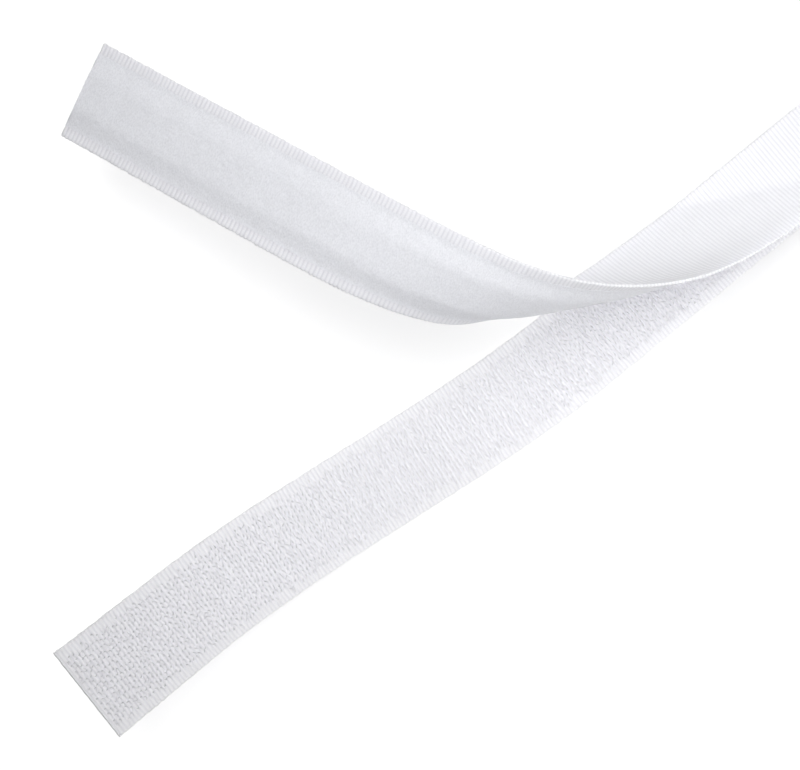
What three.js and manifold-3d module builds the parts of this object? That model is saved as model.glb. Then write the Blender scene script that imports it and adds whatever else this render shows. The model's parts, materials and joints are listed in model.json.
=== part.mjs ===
// A roll of white hook and loop tape. The hook tape and the loop tape are closed on each other, lead to
// a roll wound on a core tube, and are peeled open at their free end.
// Millimetres, +Z up. The origin lies on the table under the middle of the peel line, +X runs along
// the closed tape to the roll, and +Y points to the side over which the peeled loop tape falls.
import * as THREE from 'three';
import { mergeVertices } from 'three/addons/utils/BufferGeometryUtils.js';
import Module from 'manifold-3d';

// Tape and its layers, from the table up
const TAPE_WIDTH = 20;
const SELVEDGE_WIDTH = 2.25;
const HOOK_GROUND_THICKNESS = 0.65;
const HOOK_SLICE_THICKNESS = 0.25;
const HOOK_HEIGHT = 1.15;
const ENGAGED_HOOK_HEIGHT = 0.75;
const PILE_THICKNESS = 0.75;
const LOOP_GROUND_THICKNESS = 0.65;
const LAYER_GAP = 0.15;
const BEND_GAP = 0.3;

// Lengths along the tape
const HOOK_FREE_LENGTH = 174.5;
const LOOP_FREE_LENGTH = 163.9;
const HOOK_BEND_DISTANCE = 73;
const CLOSED_LENGTH = 18.4;
const LEAD_LENGTH = 40;

// Free hook tape: it drifts sideways on the table, and its end keeps a little of the roll's curl
const DRIFT_START = 53.5;
const DRIFT_LENGTH = 96;
const DRIFT = 8;
const HOOK_CURL_START = 92;
const HOOK_CURL_RADIUS = 125;
const HOOK_STEP = 3.5;
const LEAST_HOOK_STEP = 0.8;
const STEPS_TO_RISE_END = 21;

// Peeled loop tape: it bends sharply at the peel line, then curls over about slanting fold lines.
// A slant is the distance that a fold line runs along the tape for each millimetre across it.
const PEEL_SLANT = 1.86;
const CREST_SLANT = 1.02;
const SLANT_START = 51;
const SLANT_LENGTH = 22;
const PEEL_TURN = THREE.MathUtils.degToRad(24.3);
const PEEL_LENGTH = 5.1;
const CURL_TURN = THREE.MathUtils.degToRad(154.2);
const CURL_START = 7.1;
const CURL_LENGTH = 108.9;
const LOOP_BEND_DISTANCE = 84;
const FOLD_STEP = 3;
const WALK_STEP = 0.25;

// Hooks: each is a stem of three sides with a tip that bends over
const HOOK_SPACING = 2.4;
const HOOK_STEM = 0.5;
const HOOK_REACH = 0.85;
const HOOK_LEAN = 0.25;
const HOOK_NECK = 0.8;
const HOOK_FOOT = 0.1;
const HOOK_MARGIN = 1.6;
const HOOK_PEEL_CLEARANCE = 5;

// Roll
const TURNS = 6;
const STEPS_PER_TURN = 18;
const TURN_GAP = 0.45;
const STEP_TURN = 0.5;
const CORE_RADIUS = 19;
const CORE_WALL = 3;
const CORE_CHAMFER = 0.4;
const CORE_SEAT_GAP = 0.3;
const CORE_SIDES = 40;

// Heights of the layers in the closed tape
const hookRowsBase = HOOK_GROUND_THICKNESS + LAYER_GAP;
const sliceTop = hookRowsBase + HOOK_SLICE_THICKNESS;
const engagedTop = hookRowsBase + ENGAGED_HOOK_HEIGHT;
const pileBase = engagedTop + LAYER_GAP;
const pileTop = pileBase + PILE_THICKNESS;
const loopGroundBase = pileTop + LAYER_GAP;
const stackHeight = loopGroundBase + LOOP_GROUND_THICKNESS;

const halfWidth = TAPE_WIDTH / 2;
const halfField = halfWidth - SELVEDGE_WIDTH;
const halfGap = BEND_GAP / 2;
const rollBend = PEEL_SLANT * halfWidth + CLOSED_LENGTH;
const rollTangent = rollBend + LEAD_LENGTH;
const turnPitch = stackHeight + TURN_GAP;
const rollRadius = CORE_RADIUS + CORE_SEAT_GAP + stackHeight + TURNS * turnPitch;

const WHITE_WEAVE = { color: 0xf3f3f6, roughness: 0.85 };
const CLEAR_MONOFILAMENT = { color: 0xe9e9ee, roughness: 0.45 };
const WHITE_PILE = { color: 0xeeeef1, roughness: 0.95 };
const GREY_BOARD = { color: 0xb9b2a6, roughness: 0.9 };

const wasm = await Module();
wasm.setup();

const group = new THREE.Group();

const smoothStep = (value) => THREE.MathUtils.smoothstep(value, 0, 1);

function smoothRate(value) {
  return value > 0 && value < 1 ? 6 * value * (1 - value) : 0;
}

// Solids swept through four-cornered sections. Each section lists its corners in the same order,
// base left, base right, top right and top left as seen along the sweep.
function sweepSolid(sections) {
  const positions = sections.flat().flatMap((corner) => corner.toArray());
  const index = [];
  const last = 4 * (sections.length - 1);
  for (let ring = 0; ring < last; ring += 4) {
    for (let side = 0; side < 4; side += 1) {
      const a = ring + side;
      const b = ring + (side + 1) % 4;
      index.push(a, b + 4, b, a, a + 4, b + 4);
    }
  }
  index.push(0, 1, 2, 0, 2, 3, last, last + 2, last + 1, last, last + 3, last + 2);
  const geometry = new THREE.BufferGeometry();
  geometry.setAttribute('position', new THREE.Float32BufferAttribute(positions, 3));
  geometry.setIndex(index);
  return geometry;
}

function toManifold(geometry) {
  const bare = geometry.clone();
  bare.deleteAttribute('normal');
  bare.deleteAttribute('uv');
  const merged = mergeVertices(bare);
  return new wasm.Manifold(new wasm.Mesh({
    numProp: 3,
    vertProperties: new Float32Array(merged.attributes.position.array),
    triVerts: new Uint32Array(merged.index.array),
  }));
}

function join(geometries) {
  return geometries.map(toManifold).reduce((joined, solid) => joined.add(solid));
}

// Fuses loose pieces, which don't touch each other, to what carries them
function fuse(carriers, pieces) {
  const mesh = join(carriers).add(join(pieces)).getMesh();
  const fused = new THREE.BufferGeometry();
  fused.setAttribute('position', new THREE.Float32BufferAttribute(mesh.vertProperties, 3));
  fused.setIndex([...mesh.triVerts]);
  return fused;
}

// A place on a tape: a point, the way along, the way across and the way up from its face
function place(point, along, across, up) {
  return { point, along, across, up };
}

function pointAt({ point, across, up }, sideways, height) {
  return point.clone().addScaledVector(across, sideways).addScaledVector(up, height);
}

// Across runs to the right of along where up points to the viewer, so sections wind the same way
function section(spot, half, base, top) {
  return [
    pointAt(spot, -half, base),
    pointAt(spot, half, base),
    pointAt(spot, half, top),
    pointAt(spot, -half, top),
  ];
}

// Hook tape, by distance from the peel line towards the free end
function hookPlace(distance) {
  const angle = Math.max(0, distance - HOOK_CURL_START) / HOOK_CURL_RADIUS;
  const flat = Math.min(distance, HOOK_CURL_START) + HOOK_CURL_RADIUS * Math.sin(angle);
  const drifted = (flat - DRIFT_START) / DRIFT_LENGTH;
  const point = new THREE.Vector3(
    -flat,
    DRIFT * smoothStep(drifted),
    HOOK_CURL_RADIUS * (1 - Math.cos(angle)),
  );
  const drift = DRIFT * smoothRate(drifted) / DRIFT_LENGTH;
  const plan = new THREE.Vector3(-1, drift, 0).normalize();
  const along = plan.clone().multiplyScalar(Math.cos(angle));
  along.z = Math.sin(angle);
  const across = new THREE.Vector3(plan.y, -plan.x, 0);
  const up = across.clone().cross(along);
  return place(point, along, across, up);
}

function hookSections(from, to, half, base, top) {
  const inner = [];
  for (let distance = DRIFT_START; distance < HOOK_FREE_LENGTH; distance += HOOK_STEP) {
    if (distance > from + LEAST_HOOK_STEP && distance < to - LEAST_HOOK_STEP) {
      inner.push(distance);
    }
  }
  return [from, ...inner, to].map((distance) => section(hookPlace(distance), half, base, top));
}

// One hook on the tape, bent over across it
function hookStrand(spot, sideways, facing) {
  const foot = sliceTop - HOOK_FOOT;
  const height = HOOK_HEIGHT - HOOK_SLICE_THICKNESS + HOOK_FOOT;
  const stem = HOOK_STEM / 2;
  const corner = (lean, back, rise) => pointAt(spot, sideways + facing * lean, foot + rise)
    .addScaledVector(spot.along, -back);
  const points = [
    corner(-stem, -stem, 0),
    corner(-stem, stem, 0),
    corner(stem, 0, 0),
    corner(-stem - HOOK_LEAN, -stem, height * HOOK_NECK),
    corner(-stem - HOOK_LEAN, stem, height * HOOK_NECK),
    corner(stem - HOOK_LEAN, 0, height * HOOK_NECK),
    corner(HOOK_REACH, 0, height),
  ];
  const faces = [
    [0, 2, 1], [0, 1, 4], [0, 4, 3], [1, 2, 5], [1, 5, 4], [2, 0, 3], [2, 3, 5],
    [3, 4, 6], [4, 5, 6], [5, 3, 6],
  ];
  const index = faces.flatMap(([a, b, c]) => (facing > 0 ? [a, b, c] : [a, c, b]));
  const geometry = new THREE.BufferGeometry();
  const positions = points.flatMap((point) => point.toArray());
  geometry.setAttribute('position', new THREE.Float32BufferAttribute(positions, 3));
  geometry.setIndex(index);
  return geometry;
}

// Rows of hooks halfway between the sweep's steps, on the tape that lies clear of the peel line
function hookStrands(from, to) {
  const strands = [];
  const columns = Math.floor((halfField - HOOK_STEM) / HOOK_SPACING);
  const firstRow = Math.floor((from - DRIFT_START) / HOOK_STEP);
  const lastRow = Math.ceil((to - DRIFT_START) / HOOK_STEP);
  for (let row = firstRow; row < lastRow; row += 1) {
    const distance = DRIFT_START + (row + 0.5) * HOOK_STEP;
    const spot = hookPlace(distance);
    for (let column = -columns; column <= columns; column += 1) {
      const sideways = column * HOOK_SPACING;
      const fromPeel = distance - PEEL_SLANT * sideways - HOOK_PEEL_CLEARANCE * Math.hypot(1, PEEL_SLANT);
      if (fromPeel > 0 && distance > from + HOOK_REACH && distance < to - HOOK_REACH) {
        strands.push(hookStrand(spot, sideways, (row + column) % 2 === 0 ? 1 : -1));
      }
    }
  }
  return strands;
}

// Loop tape, by distance from the peel line. Its places are walked from the peel line, turning about
// the fold line at each step, so the tape keeps its flat length and width.
function slantAt(distance) {
  return THREE.MathUtils.lerp(PEEL_SLANT, CREST_SLANT, smoothStep((distance - SLANT_START) / SLANT_LENGTH));
}

function turnRate(distance) {
  const peel = PEEL_TURN / PEEL_LENGTH * smoothRate(distance / PEEL_LENGTH);
  const curl = CURL_TURN / CURL_LENGTH * smoothRate((distance - CURL_START) / CURL_LENGTH);
  return peel + curl;
}

function foldLine(spot, distance) {
  return spot.across.clone().addScaledVector(spot.along, slantAt(distance));
}

const loopMiddle = loopGroundBase + LOOP_GROUND_THICKNESS / 2;
const loopStart = place(
  new THREE.Vector3(0, 0, loopMiddle),
  new THREE.Vector3(-1, 0, 0),
  new THREE.Vector3(0, 1, 0),
  new THREE.Vector3(0, 0, 1),
);

function loopPlace(distance) {
  const steps = Math.max(1, Math.ceil(distance / WALK_STEP));
  const stride = distance / steps;
  const spot = place(...['point', 'along', 'across', 'up'].map((key) => loopStart[key].clone()));
  for (let step = 0; step < steps; step += 1) {
    const middle = (step + 0.5) * stride;
    const axis = foldLine(spot, middle).normalize();
    const half = turnRate(middle) * stride / 2;
    spot.along.applyAxisAngle(axis, half);
    spot.point.addScaledVector(spot.along, stride);
    spot.along.applyAxisAngle(axis, half);
    spot.across.applyAxisAngle(axis, 2 * half);
    spot.up.applyAxisAngle(axis, 2 * half);
  }
  return spot;
}

// A section of the loop tape along its fold line, moved along the tape by a small shift
function foldSection(distance, half, base, top, shift = 0) {
  const spot = loopPlace(distance);
  const slanted = { ...spot, across: foldLine(spot, distance) };
  slanted.point = spot.point.clone().addScaledVector(spot.along, shift);
  return section(slanted, half, base - loopMiddle, top - loopMiddle);
}

function squareSection(fromDistance, distance, half, base, top) {
  const spot = loopPlace(fromDistance);
  const square = { ...spot, point: spot.point.clone().addScaledVector(spot.along, distance - fromDistance) };
  return section(square, half, base - loopMiddle, top - loopMiddle);
}

function foldSections(from, to, half, base, top) {
  const sections = [];
  const steps = Math.round((to - from) / FOLD_STEP);
  for (let step = 1; step < steps; step += 1) {
    sections.push(foldSection(THREE.MathUtils.lerp(from, to, step / steps), half, base, top));
  }
  return sections;
}

const curlEnd = CURL_START + CURL_LENGTH;
const bendShift = halfGap * Math.hypot(1, CREST_SLANT);

function loopRun(half, base, top) {
  return sweepSolid([
    squareSection(0, halfGap - rollBend, half, base, top),
    foldSection(0, half, base, top),
    ...foldSections(0, LOOP_BEND_DISTANCE, half, base, top),
    foldSection(LOOP_BEND_DISTANCE, half, base, top, -bendShift),
  ]);
}

function loopEnd(half, base, top) {
  return sweepSolid([
    foldSection(LOOP_BEND_DISTANCE, half, base, top, bendShift),
    ...foldSections(LOOP_BEND_DISTANCE, curlEnd, half, base, top),
    foldSection(curlEnd, half, base, top),
    squareSection(curlEnd, LOOP_FREE_LENGTH, half, base, top),
  ]);
}

// Roll, from the bend in its lead to the core: a straight lead, then a spiral that winds inwards
const rollCentre = new THREE.Vector3(rollTangent, 0, rollRadius);

// Each turn lies on the one beneath and steps up once, where the tape's inner end lies on the core
function turnRadius(turn) {
  const whole = Math.floor(turn);
  const stepped = smoothStep((turn - whole) / STEP_TURN);
  return rollRadius - turnPitch * (whole + stepped);
}

function rollPlace(turn) {
  const angle = 2 * Math.PI * turn;
  const outward = new THREE.Vector3(Math.sin(angle), 0, -Math.cos(angle));
  return place(
    rollCentre.clone().addScaledVector(outward, turnRadius(turn)),
    new THREE.Vector3(Math.cos(angle), 0, Math.sin(angle)),
    new THREE.Vector3(0, -1, 0),
    outward.negate(),
  );
}

function rollPlaces() {
  const places = [];
  const steps = TURNS * STEPS_PER_TURN;
  for (let step = 0; step <= steps; step += 1) {
    places.push(rollPlace(step / STEPS_PER_TURN));
  }
  return places;
}

function rollLayer(half, base, top) {
  const lead = rollPlace(0);
  lead.point.x = rollBend + halfGap;
  return sweepSolid([lead, ...rollPlaces()].map((spot) => section(spot, half, base, top)));
}

function coreTube() {
  const inner = CORE_RADIUS - CORE_WALL;
  const profile = [
    [inner, -halfWidth],
    [CORE_RADIUS - CORE_CHAMFER, -halfWidth],
    [CORE_RADIUS, -halfWidth + CORE_CHAMFER],
    [CORE_RADIUS, halfWidth - CORE_CHAMFER],
    [CORE_RADIUS - CORE_CHAMFER, halfWidth],
    [inner, halfWidth],
    [inner, -halfWidth],
  ].map(([radius, along]) => new THREE.Vector2(radius, along));
  return new THREE.LatheGeometry(profile, CORE_SIDES);
}

// Hook rows: a slice of the ground that carries the hooks, pressed flat under the closed loop tape
const hookRunStart = halfGap - rollBend;
const hookRunEnd = HOOK_BEND_DISTANCE - halfGap;
const hookEndStart = HOOK_BEND_DISTANCE + halfGap;
const hookRiseEnd = DRIFT_START + STEPS_TO_RISE_END * HOOK_STEP;

function engagedRows() {
  const end = hookPlace(hookRunStart);
  const peel = hookPlace(0);
  peel.across.addScaledVector(peel.along, PEEL_SLANT);
  return sweepSolid([end, peel].map((spot) => section(spot, halfField, hookRowsBase, engagedTop)));
}

function hookSlice(from, to) {
  return sweepSolid(hookSections(from, to, halfField, hookRowsBase, sliceTop));
}

function hookRows(from, to, ...carriers) {
  return fuse([hookSlice(from, to), ...carriers], hookStrands(from, to));
}

function add(name, geometry, material) {
  const mesh = new THREE.Mesh(geometry, new THREE.MeshStandardMaterial({ metalness: 0, ...material }));
  geometry.computeVertexNormals();
  mesh.name = name;
  group.add(mesh);
  return mesh;
}

function hookGround(from, to) {
  return sweepSolid(hookSections(from, to, halfWidth, 0, HOOK_GROUND_THICKNESS));
}

add('hook_ground_run', hookGround(hookRunStart, hookRunEnd), WHITE_WEAVE);
add('hook_rows_run', hookRows(hookRunStart, hookRunEnd - HOOK_MARGIN, engagedRows()), CLEAR_MONOFILAMENT);
add('loop_pile_run', loopRun(halfField, pileBase, pileTop), WHITE_PILE);
add('loop_ground_run', loopRun(halfWidth, loopGroundBase, stackHeight), WHITE_WEAVE);

add('hook_ground_end', hookGround(hookEndStart, HOOK_FREE_LENGTH), WHITE_WEAVE);
add('hook_rows_rise', hookRows(hookEndStart + HOOK_MARGIN, hookRiseEnd - halfGap), CLEAR_MONOFILAMENT);
add('hook_rows_end', hookRows(hookRiseEnd + halfGap, HOOK_FREE_LENGTH), CLEAR_MONOFILAMENT);

add('loop_pile_end', loopEnd(halfField, pileBase, pileTop), WHITE_PILE);
add('loop_ground_end', loopEnd(halfWidth, loopGroundBase, stackHeight), WHITE_WEAVE);

add('hook_ground_roll', rollLayer(halfWidth, 0, HOOK_GROUND_THICKNESS), WHITE_WEAVE);
add('hook_rows_roll', rollLayer(halfField, hookRowsBase, engagedTop), CLEAR_MONOFILAMENT);
add('loop_pile_roll', rollLayer(halfField, pileBase, pileTop), WHITE_PILE);
add('loop_ground_roll', rollLayer(halfWidth, loopGroundBase, stackHeight), WHITE_WEAVE);
add('core_tube', coreTube(), GREY_BOARD).position.copy(rollCentre);

// The winding's least gap to itself, between the loop tape's back and the next turn's hook tape
function leastTurnGap() {
  const inner = rollPlaces().map((spot) => pointAt(spot, 0, stackHeight));
  const outer = rollPlaces().map((spot) => pointAt(spot, 0, 0));
  let least = Infinity;
  inner.forEach((point, step) => {
    for (const other of outer.slice(step + STEPS_PER_TURN / 2)) {
      least = Math.min(least, point.distanceTo(other));
    }
  });
  return least;
}

const loopAxis = loopPlace(LOOP_BEND_DISTANCE);
const loopAxisPoint = pointAt(loopAxis, 0, pileBase - loopMiddle);
const show = (vector) => vector.toArray().map((value) => value.toFixed(4)).join(' ');
console.log(`least gap between turns of the winding: ${leastTurnGap().toFixed(2)} mm`);
console.log(`roll bend line at x ${rollBend.toFixed(3)}, roll centre ${show(rollCentre)}`);
console.log(`loop bend line through ${show(loopAxisPoint)}`);
console.log(`loop bend line runs along ${show(foldLine(loopAxis, LOOP_BEND_DISTANCE).normalize())}`);
console.log(`closed tape ${stackHeight.toFixed(2)} mm thick`);

export default group;
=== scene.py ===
"""Looks of a roll of white hook and loop tape whose free end is peeled open.

Both tapes are modelled flat, as they come off the loom, and then laid along the lines that they follow.
The flat frame is the row frame with the tape pulled straight: x runs along the tape from the free end,
which is negative, through the peel line at 0 to the roll, y runs across it, and z is the height.
"""

import json
import logging
import math
from abc import ABC, abstractmethod
from dataclasses import dataclass, field
from enum import Enum

import bmesh
import bpy
import numpy as np
from mathutils import Matrix, Vector


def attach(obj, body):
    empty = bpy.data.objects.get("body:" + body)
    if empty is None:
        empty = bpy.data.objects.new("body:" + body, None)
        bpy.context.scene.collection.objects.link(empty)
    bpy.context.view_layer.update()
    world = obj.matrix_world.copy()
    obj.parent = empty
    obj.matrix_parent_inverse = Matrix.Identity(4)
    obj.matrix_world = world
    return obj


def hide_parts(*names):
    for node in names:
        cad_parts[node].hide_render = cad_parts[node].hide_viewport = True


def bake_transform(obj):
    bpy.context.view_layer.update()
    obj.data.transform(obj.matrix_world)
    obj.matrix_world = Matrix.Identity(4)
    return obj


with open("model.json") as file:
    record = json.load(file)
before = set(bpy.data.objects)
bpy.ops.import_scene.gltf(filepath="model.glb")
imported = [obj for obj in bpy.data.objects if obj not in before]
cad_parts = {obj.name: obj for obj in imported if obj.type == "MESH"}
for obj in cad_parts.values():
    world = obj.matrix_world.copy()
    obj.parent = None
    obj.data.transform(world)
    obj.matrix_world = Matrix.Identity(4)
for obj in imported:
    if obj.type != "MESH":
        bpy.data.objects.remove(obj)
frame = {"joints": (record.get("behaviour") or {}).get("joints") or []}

log = logging.getLogger("tape_roll")

Colour = tuple[float, float, float, float]
Span = tuple[float, float]
Path = tuple[tuple[float, float], ...]

MM = 0.001
SAME_PLACE = 0.01 * MM
UP = Vector((0.0, 0.0, 1.0))
FLAT = "flat"
TINT = "tint"


class Stretch(Enum):
    """The stretches that each tape is made in. They meet inside the closed tape."""

    FREE = "free"
    WOUND = "wound"


class Side(Enum):
    """The two edges of a tape, by the sign of their place across it."""

    NEAR = -1
    FAR = 1


def smooth(value: np.ndarray) -> np.ndarray:
    """Eases from 0 to 1, and stays there outside that span."""
    t = np.clip(value, 0.0, 1.0)
    return t * t * (3.0 - 2.0 * t)


def smooth_rate(value: np.ndarray) -> np.ndarray:
    """The slope of smooth."""
    t = np.clip(value, 0.0, 1.0)
    return 6.0 * t * (1.0 - t)


def unit(vectors: np.ndarray) -> np.ndarray:
    """Vectors of length 1 along the last axis."""
    return vectors / np.linalg.norm(vectors, axis=-1, keepdims=True)


def at_mm(x: float, y: float, z: float) -> Vector:
    """Default of a dataclass field that holds a place, which is given in millimetres."""
    return field(default_factory=lambda: Vector((x, y, z)) * MM)


@dataclass(frozen=True)
class TapeSizes:
    """Sizes of a tape in metres. Its length is counted in ribs, which are its picks of weft."""

    free_ribs: float
    half_width: float = 10.0 * MM
    half_field: float = 7.75 * MM
    rib_pitch: float = 0.845 * MM
    closed_ribs: int = 36

    @property
    def free_end(self) -> float:
        """Flat x of the cut end."""
        return -self.free_ribs * self.rib_pitch

    @property
    def meeting(self) -> float:
        """Flat x at which the free and the wound stretch meet."""
        return self.closed_ribs * self.rib_pitch


@dataclass(frozen=True)
class Roll:
    """The winding on the core. Each turn lies on the one beneath and steps up once."""

    radius: float = 44.75 * MM
    pitch: float = 3.7 * MM
    turns: int = 6
    step_turn: float = 0.5
    tangent: float = 77.0 * MM
    table_steps: int = 6000

    @property
    def centre(self) -> Vector:
        """The middle of the core's bore."""
        return Vector((self.tangent, 0.0, self.radius))

    def radius_at(self, turn: np.ndarray) -> np.ndarray:
        """Radius of the closed tape's outer face, by turns from the place where it starts to wind."""
        whole = np.floor(turn)
        return self.radius - self.pitch * (whole + smooth((turn - whole) / self.step_turn))

    def lengths(self, height: float) -> tuple[np.ndarray, np.ndarray]:
        """Wound length at a height in the closed tape.

        Args:
            height: height above the closed tape's outer face.

        Returns:
            Turns, and the length of tape that each has taken up.
        """
        turns = np.linspace(0.0, self.turns, self.table_steps)
        middle = (turns[1:] + turns[:-1]) / 2.0
        steps = 2.0 * np.pi * (self.radius_at(middle) - height) * np.diff(turns)
        return turns, np.concatenate([[0.0], np.cumsum(steps)])

    def lay(self, flat: np.ndarray, lift: float, middle: float) -> np.ndarray:
        """Winds flat points up.

        Args:
            flat: flat points past the place where the tape starts to wind.
            lift: height of the tape's own zero in the closed tape.
            middle: height in the closed tape at which the layer keeps its length.

        Returns:
            The points in the row frame.
        """
        turns, lengths = self.lengths(middle)
        turn = np.interp(flat[:, 0] - self.tangent, lengths, turns)
        angle = 2.0 * np.pi * turn
        radius = self.radius_at(turn) - lift - flat[:, 2]
        laid = np.empty_like(flat)
        laid[:, 0] = self.tangent + radius * np.sin(angle)
        laid[:, 1] = flat[:, 1]
        laid[:, 2] = self.radius - radius * np.cos(angle)
        return laid


class TapeLine(ABC):
    """The line that a tape follows from its free end to the core."""

    roll: Roll
    lift: float

    @abstractmethod
    def lay_open(self, flat: np.ndarray) -> np.ndarray:
        """Lays flat points that aren't wound up in the row frame."""

    def lay(self, flat: np.ndarray, middle: float) -> np.ndarray:
        """Lays flat points in the row frame.

        Args:
            flat: points on the flat tape, one to a row.
            middle: height on the tape at which the layer keeps its length.

        Returns:
            The points in the row frame.
        """
        laid = np.empty_like(flat)
        wound = flat[:, 0] > self.roll.tangent
        laid[~wound] = self.lay_open(flat[~wound])
        laid[wound] = self.roll.lay(flat[wound], self.lift, self.lift + middle)
        return laid

    def wound_end(self, middle: float) -> float:
        """Flat x of the end on the core, by the height at which the layer keeps its length."""
        return self.roll.tangent + self.roll.lengths(self.lift + middle)[1][-1]

    def span(self, sizes: TapeSizes, stretch: Stretch, middle: float) -> Span:
        """Where a stretch of the tape starts and ends.

        Args:
            sizes: sizes of the tape.
            stretch: which stretch of it.
            middle: height on the tape at which the layer keeps its length.

        Returns:
            Flat x of both ends.
        """
        if stretch is Stretch.FREE:
            return sizes.free_end, sizes.meeting
        return sizes.meeting, self.wound_end(middle)


@dataclass(frozen=True)
class HookLine(TapeLine):
    """The hook tape lies on the table, drifts sideways, and its end keeps some of the roll's curl."""

    roll: Roll
    lift: float = 0.0
    drift: float = 8.0 * MM
    drift_start: float = 53.5 * MM
    drift_length: float = 96.0 * MM
    curl_start: float = 92.0 * MM
    curl_radius: float = 125.0 * MM

    def lay_open(self, flat: np.ndarray) -> np.ndarray:
        """Lays flat points on the table and up the curl.

        Args:
            flat: points on the flat tape, one to a row.

        Returns:
            The points in the row frame.
        """
        distance = -flat[:, 0]
        angle = np.maximum(0.0, distance - self.curl_start) / self.curl_radius
        reach = np.minimum(distance, self.curl_start) + self.curl_radius * np.sin(angle)
        drifted = (reach - self.drift_start) / self.drift_length
        slope = self.drift * smooth_rate(drifted) / self.drift_length
        plan = unit(np.stack([-np.ones_like(slope), slope], axis=1))
        along = np.column_stack([plan * np.cos(angle)[:, None], np.sin(angle)])
        across = np.column_stack([plan[:, 1], -plan[:, 0], np.zeros_like(slope)])
        up = np.cross(across, along)
        rise = self.curl_radius * (1.0 - np.cos(angle))
        point = np.column_stack([-reach, self.drift * smooth(drifted), rise])
        return point + flat[:, 1:2] * across + flat[:, 2:3] * up


@dataclass(frozen=True)
class LoopLine(TapeLine):
    """The loop tape bends up at a slanting peel line and curls over, without stretching.

    A slant is the distance that a fold line runs along the tape for each unit across it.
    """

    roll: Roll
    lift: float = 2.925 * MM
    peel_slant: float = 1.86
    crest_slant: float = 1.02
    slant_start: float = 51.0 * MM
    slant_length: float = 22.0 * MM
    peel_turn: float = math.radians(24.3)
    peel_length: float = 5.1 * MM
    curl_turn: float = math.radians(154.2)
    curl_start: float = 7.1 * MM
    curl_length: float = 108.9 * MM
    walk_step: float = 0.1 * MM
    walk_length: float = 200.0 * MM
    fold_rounds: int = 40
    table: dict[str, np.ndarray] = field(init=False, repr=False, compare=False)

    def __post_init__(self) -> None:
        """Walks the tape once and keeps its places."""
        object.__setattr__(self, "table", self.walk())

    def slant(self, distance: np.ndarray) -> np.ndarray:
        """Slant of the fold line at a distance from the peel line."""
        share = smooth((distance - self.slant_start) / self.slant_length)
        return self.peel_slant + (self.crest_slant - self.peel_slant) * share

    def turn_rate(self, distance: float) -> float:
        """How fast the tape turns about its fold line.

        Args:
            distance: distance from the peel line.

        Returns:
            Angle for each metre along the tape.
        """
        peel = self.peel_turn / self.peel_length * smooth_rate(distance / self.peel_length)
        curl_at = (distance - self.curl_start) / self.curl_length
        return float(peel + self.curl_turn / self.curl_length * smooth_rate(curl_at))

    def walk(self) -> dict[str, np.ndarray]:
        """Walks from the peel line, turning about the fold line at each step.

        Returns:
            Distances, and at each one the tape's point and the ways along, across and up.
        """
        point = UP * self.lift
        along, across, up = Vector((-1.0, 0.0, 0.0)), Vector((0.0, 1.0, 0.0)), UP
        rows = [(0.0, point, along, across, up)]
        for step in range(round(self.walk_length / self.walk_step)):
            middle = (step + 0.5) * self.walk_step
            axis = (across + along * float(self.slant(np.array(middle)))).normalized()
            half = Matrix.Rotation(self.turn_rate(middle) * self.walk_step / 2.0, 3, axis)
            along = half @ along
            point = point + along * self.walk_step
            along, across, up = half @ along, half @ half @ across, half @ half @ up
            rows.append(((step + 1) * self.walk_step, point, along, across, up))
        names = ("distance", "point", "along", "across", "up")
        return {name: np.array([row[i] for row in rows], float) for i, name in enumerate(names)}

    def read(self, name: str, distance: np.ndarray) -> np.ndarray:
        """One of the walk's vectors at some distances from the peel line."""
        walked, values = self.table["distance"], self.table[name]
        return np.stack([np.interp(distance, walked, values[:, axis]) for axis in range(3)], axis=-1)

    def fold_of(self, flat: np.ndarray) -> np.ndarray:
        """Finds the fold lines through flat points.

        Args:
            flat: points on the flat tape, one to a row.

        Returns:
            Distance from the peel line, on the tape's middle, of the fold line through each point.
        """
        fold = -flat[:, 0] - flat[:, 1] * self.crest_slant
        for _ in range(self.fold_rounds):
            fold = 0.5 * fold + 0.5 * (-flat[:, 0] - flat[:, 1] * self.slant(fold))
        return fold

    def lay_open(self, flat: np.ndarray) -> np.ndarray:
        """Lays flat points on the closed tape and along the curl.

        Args:
            flat: points on the flat tape, one to a row.

        Returns:
            The points in the row frame.
        """
        laid = flat + np.array([0.0, 0.0, self.lift])
        fold = self.fold_of(flat)
        peeled = fold > 0.0
        at, sideways, height = fold[peeled], flat[peeled, 1:2], flat[peeled, 2:3]
        ruling = self.read("across", at) + self.slant(at)[:, None] * self.read("along", at)
        laid[peeled] = self.read("point", at) + sideways * ruling + height * self.read("up", at)
        return laid

    def bend_way(self, distance: float) -> Vector:
        """The way in which the tape runs on towards its free end.

        Args:
            distance: distance of a fold line from the peel line.

        Returns:
            The way, square to that fold line.
        """
        at = np.array([distance])
        along, across = self.read("along", at)[0], self.read("across", at)[0]
        fold = unit(across + self.slant(at)[0] * along)
        return Vector(unit(along - np.dot(along, fold) * fold))


def points_of(mesh: bpy.types.Mesh) -> np.ndarray:
    """Reads a mesh's vertices.

    Args:
        mesh: the mesh.

    Returns:
        Their places, one to a row.
    """
    points = np.empty(len(mesh.vertices) * 3, np.float32)
    mesh.vertices.foreach_get("co", points)
    return points.reshape(-1, 3).astype(float)


def keep_attribute(mesh: bpy.types.Mesh, name: str, values: np.ndarray) -> None:
    """Keeps a value or a vector for each vertex, for the materials to read.

    Args:
        mesh: the mesh.
        name: name of the attribute.
        values: the values, one to a vertex, or vectors, one to a row.
    """
    kind, key = ("FLOAT", "value") if values.ndim == 1 else ("FLOAT_VECTOR", "vector")
    attribute = mesh.attributes.new(name, kind, "POINT")
    attribute.data.foreach_set(key, values.astype(np.float32).ravel())


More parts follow.
